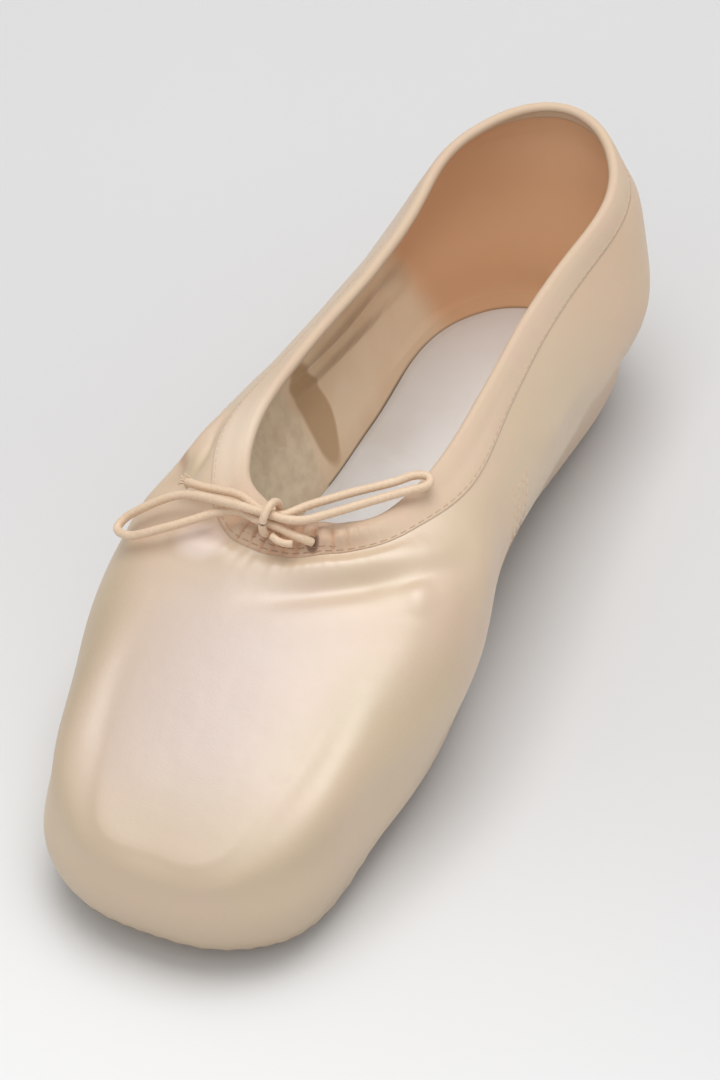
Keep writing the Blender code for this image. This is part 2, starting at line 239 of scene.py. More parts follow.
# Soft folds of the satin: three points on each, how wide it is, and how high it stands or, below
# zero, how deep it lies
FOLDS = {
    "crease under the throat":  ((-9, -54.6, 46.9), (14.5, -45.0, 50), (38, -25, 47), 2.9, -1.3),
    "puff above the crease":    ((-17, -47.5, 50), (11, -41.3, 52.3), (36, -20, 50.5), 3.2, 1.15),
    "swell below the crease":   ((-6, -59, 46), (20, -48.5, 48.5), (40, -30, 45.5), 5.5, 0.35),
    "corner of the swell":      ((27, -37, 50), (29, -40, 49), (30, -45, 47), 3.0, 0.6),
    "left crease":              ((-31, -53, 43), (-17, -54.5, 46.4), (0, -52.5, 48), 3.4, -0.35),
    "left puff":                ((-27, -44, 48), (-18, -44.5, 50), (-8, -45.5, 51), 3.0, 1.0),
    "tip of the left wing":     ((-29.5, -4, 53), (-32, -13, 51.5), (-35, -30, 47), 1.7, 1.1),
    "behind the tip":           ((-28.5, -8, 54.5), (-29, -20, 53), (-27, -33, 51.5), 1.7, -1.3),
    "dent in the left wing":    ((-33, -20, 49), (-31, -28, 50), (-27, -36, 50.5), 2.2, -0.9),
    "left wing":                ((-33, -24, 48), (-35, -33, 46), (-38, -44, 42), 3.0, 0.9),
    "below the left wing":      ((-34, -8, 44), (-37, -20, 42), (-40, -32, 39), 3.2, -0.6),
    "right wing":               ((31, -14, 53), (37, -24, 46), (41, -36, 38), 4.0, 0.7),
    "beside the right wing":    ((33, -4, 50), (37, -14, 43), (41, -25, 35), 3.6, -0.6),
    "waist, right":             ((33, 22, 42), (31, 40, 34), (29, 58, 22), 4.2, -0.9),
    "waist, right, high":       ((33, 10, 47), (33, 28, 42), (32, 50, 38), 3.6, 0.7),
    "waist, right, low":        ((28, 6, 15), (27, 25, 18), (28, 44, 17), 4.0, 0.7),
    "waist, left":              ((-33, 30, 40), (-31, 46, 30), (-28, 60, 18), 4.2, -1.2),
    "waist, left, high":        ((-32, 8, 50), (-33, 26, 45), (-31, 46, 44), 3.0, -0.9),
    "waist, left, low":         ((-28, 14, 12), (-27, 30, 20), (-30, 52, 24), 3.6, 0.8),
    "heel, left":               ((-27, 62, 10), (-31, 76, 20), (-30, 90, 33), 3.8, -1.2),
    "heel, left, above":        ((-31, 60, 22), (-31, 76, 31), (-26, 94, 43), 4.2, 1.0),
    "heel, right":              ((28, 66, 8), (31, 80, 18), (28, 94, 30), 4.2, -0.8),
    "heel, right, above":       ((31, 64, 24), (32, 78, 32), (27, 93, 42), 4.0, 0.7),
    "heel tuck, left":          ((-12, 101, 4), (-11, 106, 13), (-7, 108, 24), 2.2, -1.0),
    "heel tuck, right":         ((14, 100, 4), (13, 105, 12), (11, 108, 20), 2.2, -0.8),
    "foot of the heel":         ((-20, 95, 6), (-2, 103, 9), (20, 95, 6), 3.0, 0.4),
    "side seam, right":         ((32, 5, 49), (35, -8, 28), (31, -19, 8), 1.1, 0.35),
    "side seam, left":          ((-32, 5, 49), (-35, -8, 28), (-31, -19, 8), 1.1, 0.35),
    "back seam":                ((0, 104, 4), (0, 109.5, 26), (0, 112, 50), 1.0, 0.45),
}


def bent(t, start, middle, end):
    """The parabola through three values, at a share t of the way from the first to the last."""
    return (1 - t) * (1 - 2 * t) * start + 4 * t * (1 - t) * middle + t * (2 * t - 1) * end


def folds(points, table):
    """Height of all folds at some points: bells across each fold, fading out towards its ends."""
    flat = points.reshape(-1, 3)
    total = np.zeros(len(flat))
    steps = 32
    fade = 1.6
    t = np.linspace(0, 1, steps + 1)[:, None]
    for start, middle, end, width, height in table.values():
        start, middle, end = (np.array(p, float) for p in (start, middle, end))
        path = bent(t, start, middle, end)
        slope = np.gradient(path, axis=0)
        pace = np.linalg.norm(slope, axis=1)
        slope /= pace[:, None]
        near = np.flatnonzero(np.linalg.norm(flat - middle, axis=1)
                              < np.linalg.norm(end - start) + 3 * width)
        closest = ((flat[near, None] - path) ** 2).sum(axis=2).argmin(axis=1)
        apart = flat[near] - path[closest]
        ahead = (apart * slope[closest]).sum(axis=1)
        ahead = np.clip(ahead, -0.5 * pace[closest], 0.5 * pace[closest])
        gap = np.linalg.norm(apart - ahead[:, None] * slope[closest], axis=1)
        u = np.clip((closest + ahead / pace[closest]) / steps, 0, 1)
        total[near] += height * np.exp(-(gap / width) ** 2) * (4 * u * (1 - u)) ** fade
    return total.reshape(points.shape[:-1])


def even(*parts):
    """Line numbers from pairs of a line and a count of steps that lead up to it from the last one."""
    numbers = [np.array([0.0])]
    for line, count in parts:
        numbers.append(np.linspace(numbers[-1][-1], line, count + 1)[1:])
    return np.concatenate(numbers)


def band_faces(count, size, closed=True):
    """Rows, columns and corners of the faces between rings of points, each joined to the next one,
    and the last to the first one where the band is closed."""
    i, j = np.meshgrid(np.arange(count if closed else count - 1), np.arange(size), indexing="ij")
    i_next = (i + 1) % count
    j_next = (j + 1) % size
    corners = [i * size + j, i * size + j_next, i_next * size + j_next, i_next * size + j]
    return i, j, np.stack(corners, -1)


def closed_band(name, loops, around):
    """Mesh of an endless band from its cross-sections, with a UV map in centimetres of cloth.

    The V of each corner is the distance round its cross-section, and the U is the distance round
    the shoe, given for each cross-section and once more for the first one at the end.
    """
    count, size = loops.shape[:2]
    i, j, quads = band_faces(count, size)
    run = np.linalg.norm(np.diff(loops, axis=1, append=loops[:, :1]), axis=-1).cumsum(axis=1)
    v = np.insert(run.mean(axis=0), 0, 0)
    u_low, u_high = around[i], around[i + 1]
    v_low, v_high = v[j], v[j + 1]
    uv = np.stack([u_low, v_low, u_low, v_high, u_high, v_high, u_high, v_low], -1) / 10
    return piece_from(name, loops.reshape(-1, 3), quads.reshape(-1, 4).tolist(), uv.reshape(-1, 2))


def placed(name, data):
    """The object that shows a mesh, a light or a camera."""
    shown = bpy.data.objects.new(name, data)
    bpy.context.scene.collection.objects.link(shown)
    return shown


def piece_from(name, points, faces, uv=None):
    """A smooth piece from points in millimetres, faces and the UV of each face's corners."""
    mesh = bpy.data.meshes.new(name)
    mesh.from_pydata((points * MM).tolist(), [], faces)
    if uv is not None:
        layer = mesh.uv_layers.new(name="cloth")
        layer.data.foreach_set("uv", np.asarray(uv, np.float32).ravel())
    mesh.shade_smooth()
    mesh.update()
    return placed(name, mesh)


satin_numbers = even((1, 4), (2, 5), (3, 4), (4, 10), (5, 10), (6, 12), (7, 20), (8, 64))
satin_places = wall_places(satin_numbers)
bare_wall = outer_face(satin_numbers)
bare_normal = outward(bare_wall)
shoulder = bare_wall[:, np.searchsorted(satin_numbers, 5)]
girth = np.linalg.norm(np.diff(shoulder, axis=0, append=shoulder[:1]), axis=-1)
around_shoe = np.insert(girth.cumsum(), 0, 0)
below_rim = both_halves(rim_at - satin_places)
above_foot = both_halves(satin_places - wall_places([3.0]))
casing_width = two_sides(both_halves(section["casing"]), both_halves(section["casing_left"]))[:, None]
station = both_halves(np.linspace(0, 1, HALF))[:, None]
girth_mm = around_shoe[:-1, None]
wall_thick = both_halves(section["wall"])[:, None]
seam_line = wall_face(rim_at - section["casing"][:, None])[:, 0]
seam_mm = np.linalg.norm(np.diff(seam_line, axis=0), axis=-1).cumsum()
seam_mm = np.insert(seam_mm, 0, 0)[:, None]

# Small puckers hang from the casing's seam, and the cloth is pleated where it turns under the toe
seam_drop = np.clip(below_rim - casing_width, 0, None)
pucker = np.sin(seam_mm * 1.6 + 1.9 * np.sin(seam_mm * 0.37)) + 0.5 * np.sin(seam_mm * 3.1 + 1)
pucker = pucker * 0.07 * np.exp(-seam_drop / 3.0) * (0.3 + 0.9 * ramp((station - 0.6) / 0.2))
pleat = np.abs(np.sin(girth_mm * 0.72 + 0.8 * np.sin(girth_mm * 0.19))) * 0.22
pleat = pleat * ramp((3 - above_foot) / 6) * (0.35 + 0.65 * ramp((station - 0.72) / 0.08))
covered = ramp((below_rim - casing_width + 0.4) / 3)
relief = (folds(bare_wall, FOLDS) + pucker) * covered - pleat
satin_wall = bare_wall + bare_normal * relief[..., None]
satin_wall[..., 2] = np.maximum(satin_wall[..., 2], FOOT_HEIGHT)

# The satin's back lies unseen in the wall, and the lining's back just behind it
RIM_THICK = 0.9
THICKENS_OVER = 16
SATIN_SHARE = 0.68


def wall_depth(below):
    """Thickness of the wall at distances below the rim: thin there, and its own further down."""
    return RIM_THICK + (wall_thick - RIM_THICK) * ramp(below / THICKENS_OVER)


back_numbers = even((2, 3), (4, 4), (5, 3), (6, 4), (8, 8))
back_wall = outer_face(back_numbers)
back_normal = outward(back_wall)
back_below = both_halves(rim_at - wall_places(back_numbers))
back_depth = wall_depth(back_below)[..., None]
satin_back = back_wall - back_normal * back_depth * SATIN_SHARE
satin = closed_band("satin", np.concatenate([satin_wall, satin_back[:, ::-1]], axis=1), around_shoe)


class Tint:
    """One socket of a material's nodes, which takes part in Python's sums."""

    def __init__(self, tree, socket):
        self.tree = tree
        self.socket = socket

    def node(self, kind, settings, inputs, output=0):
        """The output of a new node: settings are set first, then numbers or links on its sockets."""
        made = self.tree.nodes.new(kind)
        for name, value in settings.items():
            setattr(made, name, value)
        for name, value in inputs.items():
            if isinstance(value, Tint):
                self.tree.links.new(value.socket, made.inputs[name])
            else:
                made.inputs[name].default_value = value
        return Tint(self.tree, made.outputs[output])

    def sum(self, operation, other=0.0, reverse=False):
        """The result of a Math operation on this and another number, or on the two in reverse."""
        first, second = (other, self) if reverse else (self, other)
        return self.node("ShaderNodeMath", {"operation": operation}, {0: first, 1: second})

    def __add__(self, other):
        return self.sum("ADD", other)

    def __sub__(self, other):
        return self.sum("SUBTRACT", other)

    def __mul__(self, other):
        return self.sum("MULTIPLY", other)

    def __truediv__(self, other):
        return self.sum("DIVIDE", other)

    def __rsub__(self, other):
        return self.sum("SUBTRACT", other, reverse=True)

    __radd__ = __add__
    __rmul__ = __mul__

    def above(self, low, high):
        """0 below low, 1 above high, and a soft step between them."""
        return self.node("ShaderNodeMapRange", {"interpolation_type": "SMOOTHSTEP"},
                         {"Value": self, "From Min": low, "From Max": high})

    def below(self, low, high):
        """1 below low, 0 above high, and a soft step between them."""
        return 1 - self.above(low, high)

    def size(self):
        """This number without its sign."""
        return self.sum("ABSOLUTE")

    def squared(self):
        """This number times itself."""
        return self * self

    def near(self, middle, width):
        """1 at a value and 0 from a width on either side of it."""
        return (self - middle).size().below(0, width)

    def stretched(self, scale):
        """A vector with each of its axes multiplied."""
        return self.node("ShaderNodeVectorMath", {"operation": "MULTIPLY"}, {0: self, 1: scale})

    def noise(self, scale, detail=3.0, roughness=0.5):
        """Cloudy noise between 0 and 1 at a vector."""
        return self.node("ShaderNodeTexNoise", {}, {"Vector": self, "Scale": scale, "Detail": detail,
                                                    "Roughness": roughness})

    def toward(self, colour, mask):
        """This colour mixed with another one where the mask is 1."""
        mixed = self.node("ShaderNodeMix", {"data_type": "RGBA"}, {0: mask, 6: self}, 2)
        plug(self.tree, colour, mixed.socket.node.inputs[7])
        return mixed

    def layered(self, *layers):
        """This colour under others, laid over it in turn, each where its mask is 1."""
        colour = self
        for over, mask in layers:
            colour = colour.toward(over, mask)
        return colour


def plug(tree, value, socket):
    """Sets a socket to a number or a colour, or links it to a tint."""
    if isinstance(value, Tint):
        tree.links.new(value.socket, socket)
    elif isinstance(value, tuple) and len(value) == 3 and socket.type == "RGBA":
        socket.default_value = (*value, 1)
    else:
        socket.default_value = value


class Finish:
    """A material under way: its shader, with places in millimetres and the cloth's UV."""

    def __init__(self, name, **constant):
        self.material = bpy.data.materials.new(name)
        self.material.use_nodes = True
        self.tree = self.material.node_tree
        self.shader = self.tree.nodes["Principled BSDF"]
        where = Tint(self.tree, self.tree.nodes.new("ShaderNodeTexCoord").outputs["Object"])
        self.place = where.stretched((1000, 1000, 1000))
        apart = self.tree.nodes.new("ShaderNodeSeparateXYZ")
        self.tree.links.new(self.place.socket, apart.inputs[0])
        self.axes = [Tint(self.tree, out) for out in apart.outputs]
        self.cloth = Tint(self.tree, self.tree.nodes.new("ShaderNodeUVMap").outputs[0])
        self.cloth.socket.node.uv_map = "cloth"
        for name, value in constant.items():
            plug(self.tree, value, self.shader.inputs[name.replace("_", " ")])

    def colour(self, value):
        """A plain colour as a tint."""
        made = self.tree.nodes.new("ShaderNodeRGB")
        made.outputs[0].default_value = (*value, 1)
        return Tint(self.tree, made.outputs[0])

    def stored(self, name):
        """A number that the piece holds at each point."""
        return self.place.node("ShaderNodeAttribute", {"attribute_name": name}, {}, 2)

    def set(self, **varying):
        """Feeds the shader's sockets with what varies over the piece."""
        for name, value in varying.items():
            plug(self.tree, value, self.shader.inputs[name.replace("_", " ")])

    def bump(self, height, depth):
        """Sets the normal from a height between 0 and 1 that is worth a depth in millimetres."""
        self.set(Normal=height.node("ShaderNodeBump", {}, {"Height": height, "Distance": depth * MM,
                                                           "Strength": 1.0}))

    def on(self, *pieces):
        """Finishes some pieces with this material."""
        for piece in pieces:
            piece.data.materials.clear()
            piece.data.materials.append(self.material)


satin_finish = Finish("pink_satin", IOR=1.7, Specular_IOR_Level=0.8, Sheen_Weight=0.15,
                      Sheen_Roughness=0.4, Sheen_Tint=(1.0, 0.88, 0.76), Coat_Weight=0.06,
                      Coat_Roughness=0.45)
x, y, z = satin_finish.axes
threads = satin_finish.cloth.stretched((9, 60, 1)).noise(1.0, 2.0)
clouds = satin_finish.place.noise(0.045, 3.0)
glue = satin_finish.place.noise(0.35, 4.0, 0.6)
slack = satin_finish.place.noise(0.11, 2.0)
# Painted highlight: the top of the box is mixed towards a paler, cooler pink, the sheen that the overhead
# light lays on it.
top_painted_sheen = z.above(22, 38) * y.below(-64, -36) * (x + 3).size().below(4, 36)
# Painted shade: an olive band where the box turns down from its top to its right side, away from the
# light.
right_turn_shade = z.near(39.5, 8) * x.above(18, 25) * y.near(-60, 32)
# Painted shade: the left side of the box is darkened, as it faces away from the light.
left_turn_shade = z.near(32, 24) * x.below(-34, -20) * y.near(-70, 50)
# Painted shade: the low front of the platform, which faces down towards the floor, is darkened.
toe_foot_shade = z.near(2, 24) * y.below(-92, -70)
# Painted shade: the platform's top edge is tinted darker to dull its highlight; it is also made rougher.
toe_edge = z.near(27, 9) * y.below(-94, -78)
# Painted shade: a thin dark line along the left wing's edge, where the satin turns away.
wing_edge_shade = z.near(49.6, 1.0) * y.near(-20, 15) * x.below(-32, -30)
# Painted shade: an olive patch in the dent of the left wing.
wing_olive_shade = z.near(51.0, 2.2) * y.near(-25.5, 7) * x.below(-28, -26)
# Painted highlight: a pale pink spot on the left puff beside the casing, where the light glints off the
# satin.
left_puff_highlight = ((x + 18.5).squared() + (y + 43.6).squared() * 2).below(0, 55)
satin_colour = satin_finish.colour((0.66, 0.505, 0.335)).layered(
    ((0.68, 0.48, 0.36), clouds.above(0.35, 0.75) * 0.6),
    ((0.63, 0.50, 0.44), top_painted_sheen * 0.9),
    ((0.48, 0.38, 0.22), right_turn_shade * 0.4),
    # Painted shade: the satin darkens towards the sole, near the floor.
    ((0.50, 0.36, 0.22), z.near(2, 17) * 0.5),
    ((0.40, 0.31, 0.18), left_turn_shade * 0.6),
    ((0.46, 0.34, 0.20), toe_foot_shade * 0.6),
    ((0.70, 0.47, 0.29), y.above(30, 70) * x.above(0, 20) * 0.5),
    ((0.74, 0.60, 0.46), threads.above(0.3, 0.8) * 0.18),
    ((0.40, 0.22, 0.15), wing_edge_shade * 0.75),
    ((0.47, 0.37, 0.20), wing_olive_shade * 0.5),
    ((0.88, 0.73, 0.66), left_puff_highlight * 0.7),
    ((0.55, 0.43, 0.27), toe_edge * 0.35))
satin_finish.set(Base_Color=satin_colour,
                 Roughness=0.36 + threads.above(0.2, 0.8) * 0.06 + glue * 0.05 + toe_edge * 0.14)
satin_finish.bump(threads * 0.12 + glue * 0.2 + slack, 0.16)
satin_finish.on(satin)
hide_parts("upper")
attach(satin, "root")


# Lining. The inside is cotton glued to the satin: tan cloth at the sides, a browner piece round the
# heel, and cream canvas over the back of the box. The loose cloth has puckers that run along the
# collar, and a brown tongue covers its joint with the canvas.
LINING_SHARE = 0.76
LAP_THICK = 1.4
INSOLE_TOP = 6.4
DEEPEST = -0.3
HIGHEST = 2.2
LINING_FOLDS = {
    "along the left side":  ((-31.5, 18, 36), (-30.7, 48, 31), (-29, 84, 28), 1.2, 2.2),
    "below it":             ((-30.3, 16, 32), (-29.3, 46, 27), (-27, 82, 22.5), 1.2, 2.0),
    "hollow above them":    ((-32, 24, 41), (-31.5, 48, 36), (-29, 78, 33), 2.6, -0.3),
    "bulge at the heel":    ((-29, 66, 30), (-28, 76, 27), (-26, 84, 22), 5.0, 0.9),
    "slack by the throat":  ((-27, 4, 36), (-28, 12, 26), (-26, 20, 15), 1.6, 0.9),
    "tongue's edge":        ((-30, 22, 36), (-28, 23, 24), (-23, 22.5, 12), 1.0, 0.8),
    "seam in the canvas":   ((-24, 21, 22), (-23, 18, 16), (-22, 13, 11), 0.9, 0.6),
    "under the right rim":  ((27, 8, 46), (31, 32, 43), (29, 56, 44), 2.4, 0.8),
    "heel":                 ((-22, 86, 14), (0, 101, 16), (22, 86, 14), 3.0, 0.6),
}


def ground_at(y):
    """Height of the sole's underside at distances along the shoe from its middle."""
    return ground(TABLE_MIDDLE - y * TABLE_LENGTH / LENGTH)


def store(piece, name, values):
    """Gives each point of a piece a number that its finish can use."""
    kept = piece.data.attributes.new(name, "FLOAT", "POINT")
    kept.data.foreach_set("value", values.astype(np.float32).ravel())


lining_numbers = even((2, 5), (3, 3), (4, 9), (5, 10), (6, 9), (7, 12), (8, 12))
lining_places = wall_places(lining_numbers)
lining_outer = outer_face(lining_numbers)
lining_normal = outward(lining_outer)
thickness = wall_depth(both_halves(rim_at - lining_places))
on_lap = both_halves(lining_places) < both_halves(wall_places([2.5]))
thickness = np.where(on_lap, LAP_THICK, thickness)
lining_relief = folds(lining_outer - lining_normal * thickness[..., None], LINING_FOLDS)
lining_relief = np.clip(lining_relief, DEEPEST, HIGHEST)
lining_inner = lining_outer - lining_normal * (thickness + lining_relief)[..., None]
lining_back = back_wall - back_normal * back_depth * LINING_SHARE
lining_loops = np.concatenate([lining_back, lining_inner[:, ::-1]], axis=1)
lining = closed_band("lining", lining_loops, around_shoe)
above_insole = lining_inner[..., 2] - ground_at(lining_inner[..., 1]) - INSOLE_TOP
store(lining, "above_insole", np.concatenate([back_wall[..., 2], above_insole[:, ::-1]], axis=1))
store(lining, "fold_height", np.concatenate([0 * back_wall[..., 2], lining_relief[:, ::-1]], axis=1))

lining_finish = Finish("lining_cloth", Specular_IOR_Level=0.25, Sheen_Weight=0.1)
x, y, z = lining_finish.axes
weave = lining_finish.cloth.stretched((70, 70, 1)).noise(1.0, 2.0)
stain = lining_finish.place.noise(0.09, 4.0)
edge_wander = lining_finish.place.noise(0.2, 2.0) * 2
heel_piece = (y + z * 0.35 + edge_wander).above(83, 94)
canvas_piece = (y + edge_wander).below(21, 23)
canvas_dirt = lining_finish.place.noise(0.28, 3.0, 0.5).above(0.35, 0.7)
tongue = (((y - 28) / 5.5).squared() + ((z - 24) / 14).squared()).below(0.7, 1.15)
height = lining_finish.stored("above_insole")
# Painted shadow: a dark line on the left wall along the insole's edge, where the gap between them lies in
# shade.
gap_shadow = height.below(-0.3, 0.6) * x.below(-14, -6) * (1 - canvas_piece) * y.below(60, 84)
# Painted shade: a dark streak along each pucker of the lining.
puckers = lining_finish.stored("fold_height").above(0.2, 1.7) * (1 - canvas_piece)
lining_colour = lining_finish.colour((0.98, 0.82, 0.62)).layered(
    ((0.93, 0.72, 0.51), stain.above(0.35, 0.7) * 0.6),
    ((0.58, 0.39, 0.22), tongue * 0.85),
    ((0.86, 0.52, 0.30), heel_piece * 0.95),
    ((0.98, 0.86, 0.66), canvas_piece * 0.95),
    ((0.66, 0.50, 0.34), canvas_piece * canvas_dirt * 0.4),
    # Painted shade: the lining darkens just above the insole, in the corner between wall and insole.
    ((0.62, 0.44, 0.29), height.below(0.5, 6) * 0.25),
    # Painted shade: the lining below the insole's top, down in the gap by its edge, is painted dark.
    ((0.26, 0.17, 0.10), height.below(-0.8, 0.3) * (1 - canvas_piece * 0.8)),
    ((0.15, 0.09, 0.05), gap_shadow * 0.8),
    ((0.52, 0.37, 0.23), puckers * 0.6),
    ((0.80, 0.62, 0.44), weave.above(0.45, 0.8) * 0.15))
lining_finish.set(Base_Color=lining_colour, Roughness=0.75 + weave * 0.15)
lining_finish.bump(weave * 0.7 + stain * 0.3, 0.12)
lining_finish.on(lining)
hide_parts("upper")
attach(lining, "root")


# Casing. A bias tape of cream cotton is folded over the collar's rim and sewn down on both faces. The
# drawstring runs in its fold, which makes a round edge, and gathers the tape at the throat, where it
# reaches further down on the left than on the right.
CASING_CLEAR = 0.1
CASING_THICK = 0.3
CASING_INSIDE = 2.2
RIM_RADIUS = 0.45
rim_points = wall_face(rim_at)
rim_normal = outward(wall_face(rim_at - np.array([1.0, 0.5, 0.0])))[:, 2:]
rim_rise = rim_points - wall_face(rim_at - 1.0)
rim_rise /= np.linalg.norm(rim_rise, axis=-1, keepdims=True)
throat = ramp((station - 0.62) / 0.14)
gather = np.abs(np.sin(seam_mm * 1.04 + 1.2 * np.sin(seam_mm * 0.27))) ** 0.65
gather *= (0.05 + 1.35 * throat) * (0.7 + 0.3 * np.sin(seam_mm * 0.33 + 1))
CASING_FOLDS = {
    "mound at the right":   ((2, -38.5, 54.5), (10, -35, 55), (19, -28, 55.5), 2.6, 1.2),
    "hollow at the right":  ((6, -37.5, 54.4), (8.5, -34.8, 55.3), (12, -32, 56), 1.5, -2.2),
    "hollow at the left":   ((-18, -38, 52.6), (-14.5, -38.2, 53.4), (-10.5, -37, 54.4), 1.9, -2.2),
    "mound at the left":    ((-13, -41.5, 52.8), (-8, -40.6, 53.8), (-4, -40, 54.2), 2.0, 0.9),
}


def casing_skin(clear):
    """The tape's face at a distance from the wall: down its front, over the rim and down its back."""
    steps = np.linspace(1, 0, 15)[:-1]
    faces = [wall_face(rim_at - section[side][:, None] * steps)
             for side in ("casing", "casing_left")]
    front = two_sides(*faces)
    front_below = casing_width * steps
    from_edge = casing_width - front_below
    swell = clear * (0.2 + 0.8 * ramp(from_edge / 2.5)
                     + 1.5 * np.exp(-((front_below - 1.0) / 2.2) ** 2))
    loose = clear / CASING_THICK * ramp(front_below / 1.5) * ramp(from_edge / 3)
    swell = swell + (gather + folds(front, CASING_FOLDS)) * loose
    swell = swell + CASING_CLEAR * (0.5 + 0.5 * ramp(from_edge / 2))
    front = front + outward(front) * swell[..., None]
    turn = np.radians(np.linspace(0, 180, 9))[None, :, None]
    radius = RIM_RADIUS + CASING_CLEAR + clear * 2.4
    top = rim_points - rim_normal * RIM_RADIUS
    top = top + (rim_normal * np.cos(turn) + rim_rise * np.sin(turn)) * radius
    back_at = rim_at - np.linspace(CASING_INSIDE, 0, 8)[:-1]
    back = wall_face(back_at)
    depth = wall_depth(both_halves(rim_at - back_at))
    back = back - outward(back) * (depth + CASING_CLEAR + clear * (1 + 0.3 * gather))[..., None]
    return np.concatenate([front, top, back[:, ::-1]], axis=1)


casing_face = casing_skin(CASING_THICK)
casing_loops = np.concatenate([casing_face, casing_skin(0.0)[:, ::-1]], axis=1)
casing = closed_band("casing", casing_loops, around_shoe)
store(casing, "gathered", np.broadcast_to(gather, casing_loops.shape[:2]))

casing_finish = Finish("cotton_tape", Specular_IOR_Level=0.3, Sheen_Weight=0.2,
                       Sheen_Tint=(1.0, 0.9, 0.8))
x, y = casing_finish.axes[:2]
tape_weave = casing_finish.cloth.stretched((55, 75, 1)).noise(1.0, 2.0)
tape_clouds = casing_finish.place.noise(0.12, 3.0)
# Painted shade: the valleys between the gathers at the throat are darkened and warmed.
gather_valley_shade = casing_finish.stored("gathered").below(0.25, 0.9)
# Painted shade: the gathered tape at the throat is darker and pinker, as its deep folds shade it.
throat_shade = y.below(-37.5, -33) * x.near(-1, 26)
# Painted light: the tape on the left side of the collar is paler, where the light falls on it.
left_painted_light = x.below(-21, -15) * y.near(-18, 22)
# Painted shadow: a dark spot on the tape round the place where the cord comes out of it; the tape has no
# hole.
cord_exit_shadow = ((x - 5.0).squared() + (y + 39.2).squared()).below(1.0, 2.6)
tape_colour = casing_finish.colour((0.73, 0.56, 0.40)).layered(
    ((0.75, 0.54, 0.41), tape_clouds.above(0.4, 0.7) * 0.6),
    ((0.66, 0.36, 0.21), gather_valley_shade * throat_shade * 0.8),
    ((0.70, 0.44, 0.29), throat_shade * 0.5),
    ((0.86, 0.71, 0.56), left_painted_light * 0.7),
    ((0.16, 0.08, 0.05), cord_exit_shadow * 0.75),
    ((0.62, 0.44, 0.30), tape_weave.below(0.2, 0.5) * 0.25))
casing_finish.set(Base_Color=tape_colour, Roughness=0.50 + tape_weave * 0.12)
casing_finish.bump(tape_weave, 0.08)
casing_finish.on(casing)
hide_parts("topline_binding")
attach(casing, "root")


# Stitches. Machine stitches of pale thread: one row round the casing's edge with one more across the
# throat, four rows down each side seam, and a row on either side of the seam at the back of the heel.
STITCH_LENGTH = 1.7
STITCH_PITCH = 2.3
THREAD_RADIUS = 0.1

# The rows lie at these fractional places of the casing's grid and the satin's grid. A side seam goes
# by distances along the shoe and line numbers, and its rows are shifts in grid sections.
EDGE_ROW = 1.6
THROAT_ROW = 3.3
SIDE_SEAM = ((3.0, 6.7), (-9.0, 5.0), (-19.0, 3.2))
SIDE_ROWS = (-4.6, -1.6, 1.6, 4.6)
HEEL_ROWS = (-1.8, 1.8)
HEEL_SPAN = (14, 90)
THROAT_SPAN = (0.40, 0.60)


def path_on(points, i, j):
    """Points between those of a grid, at fractional rows and columns, by bilinear interpolation."""
    count = len(points)
    i0 = np.floor(i).astype(int)
    j0 = np.clip(np.floor(j).astype(int), 0, points.shape[1] - 2)
    u = (i - i0)[:, None]
    v = (j - j0)[:, None]
    low = points[i0 % count, j0] * (1 - v) + points[i0 % count, j0 + 1] * v
    high = points[(i0 + 1) % count, j0] * (1 - v) + points[(i0 + 1) % count, j0 + 1] * v
    return low * (1 - u) + high * u


def stitches(path, normal):
    """Points of one row of stitches along a path: four six-sided rings round each straight stitch."""
    run = np.insert(np.linalg.norm(np.diff(path, axis=0), axis=1).cumsum(), 0, 0)
    start = np.arange(0.3, run[-1] - STITCH_LENGTH, STITCH_PITCH)
    share = np.array([0.0, 0.12, 0.88, 1.0])
    lift = np.array([-0.12, 0.07, 0.07, -0.12])
    radius = np.array([0.5, 1.0, 1.0, 0.5]) * THREAD_RADIUS
    at = start[:, None] + share * STITCH_LENGTH
    line = np.stack([np.interp(at, run, path[:, k]) for k in range(3)], axis=-1)
    out = np.stack([np.interp(at, run, normal[:, k]) for k in range(3)], axis=-1)
    out /= np.linalg.norm(out, axis=-1, keepdims=True)
    side = np.cross(out, line[:, -1:] - line[:, :1])
    side /= np.linalg.norm(side, axis=-1, keepdims=True)
    line = line + out * lift[:, None]
    turn = np.radians(np.arange(6) * 60)
    ring = out[:, :, None] * np.sin(turn)[:, None] + side[:, :, None] * np.cos(turn)[:, None]
    return line[:, :, None] + ring * radius[:, None, None]


def row_on(face, normal, i, j):
    """One row of stitches on a grid, at fractional rows and columns."""
    i, j = np.broadcast_arrays(i, j)
    return stitches(path_on(face, i, j), path_on(normal, i, j))


def stitch_mesh(name, rows):
    """One mesh of all the stitches in some rows, each closed by a small face at either end."""
    rings = np.concatenate(rows)
    base = (np.arange(len(rings)) * 24)[:, None, None]
    sides = band_faces(4, 6, closed=False)[2].reshape(-1, 4) + base
    caps = [(base[:, 0] + order).tolist() for order in (np.arange(6)[::-1], np.arange(18, 24))]
    return piece_from(name, rings.reshape(-1, 3), sides.reshape(-1, 4).tolist() + caps[0] + caps[1])


casing_normal = outward(casing_face)
ring = np.linspace(0, AROUND, 4 * AROUND + 1)
across_throat = np.linspace(*THROAT_SPAN, 3 * AROUND) * AROUND
casing_stitches = stitch_mesh("casing_stitches", [
    row_on(casing_face, casing_normal, ring, EDGE_ROW),
    row_on(casing_face, casing_normal, across_throat, THROAT_ROW)])
thread_finish = Finish("pale_thread", Specular_IOR_Level=0.4)
x, y = thread_finish.axes[:2]
ply = thread_finish.place.noise(4.0, 1.0)
